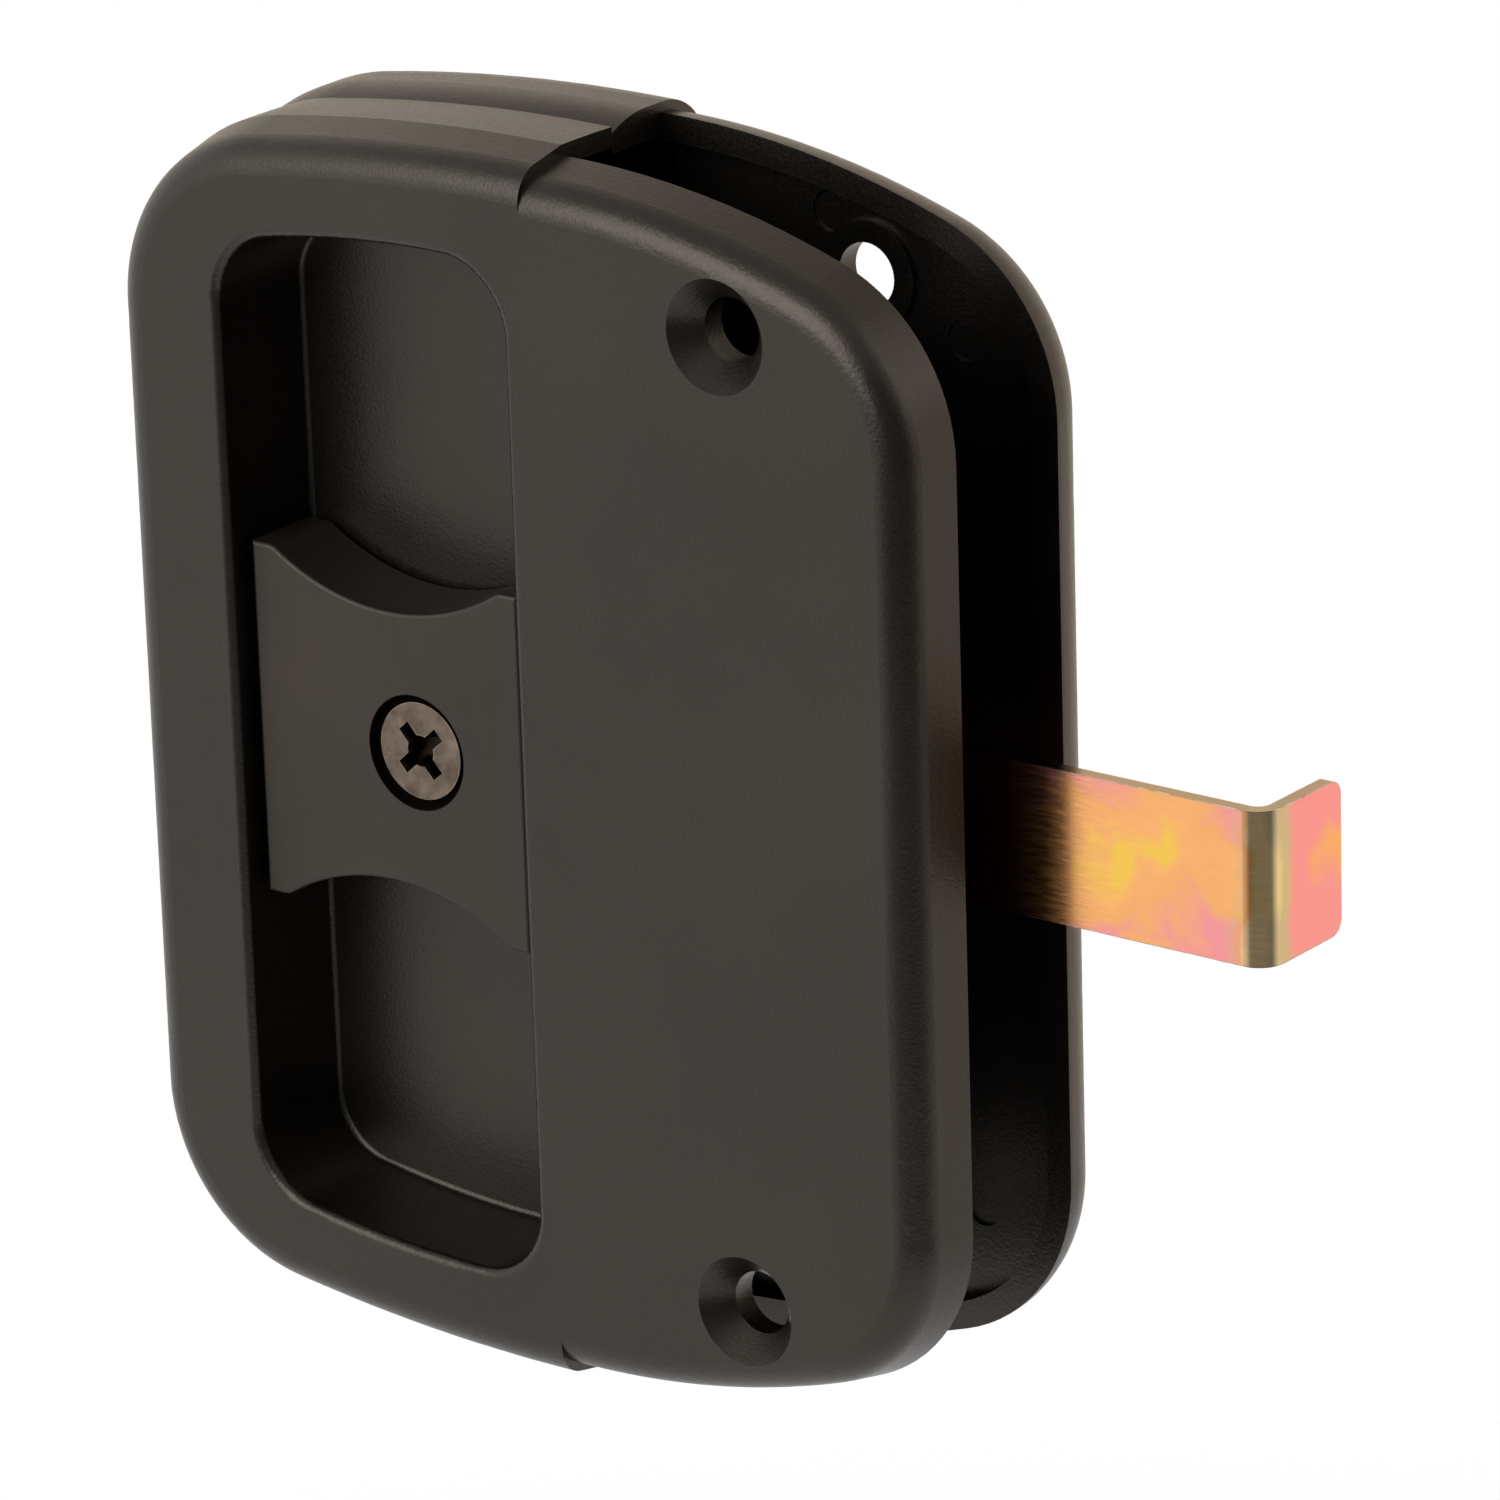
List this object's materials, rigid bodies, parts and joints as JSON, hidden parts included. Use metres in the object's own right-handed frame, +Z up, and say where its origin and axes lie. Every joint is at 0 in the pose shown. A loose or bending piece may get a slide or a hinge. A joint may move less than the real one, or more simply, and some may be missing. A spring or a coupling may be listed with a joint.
{
  "type": "sliding screen door latch and pull",
  "caption": "Recessed pull in mirrored moulded halves that clamp a screen door stile, with sliding thumb blocks that move a bent flat bolt up and down.",
  "frame": {"origin": "midway between the mounting screw holes, on the plane where the halves meet", "axes": "+X from the grip towards the bolt's tip, +Y from the inside of the house to the outside, +Z up"},
  "size_m": [0.1154, 0.0266, 0.1146],
  "materials": {
    "housing_moulding": "fine moulded texture, black bronze",
    "thumb_block_moulding": "fine moulded texture, black bronze",
    "bolt_plating": "yellow zinc plating with a pink and green sheen",
    "screw_plating": "dark bronze plating"
  },
  "bodies": {
    "housing": {"inside_housing": "housing_moulding", "outside_housing": "housing_moulding"},
    "latch_slide": {"inside_thumb_slide": "thumb_block_moulding", "outside_thumb_slide": "thumb_block_moulding", "latch_bolt": "bolt_plating", "centre_screw": "screw_plating"}
  },
  "joints": [
    {"name": "latch_travel", "type": "slide", "parent": "housing", "child": "latch_slide", "axis": [0, 0, 1], "range_m": [-0.0045, 0.0045]}
  ]
}
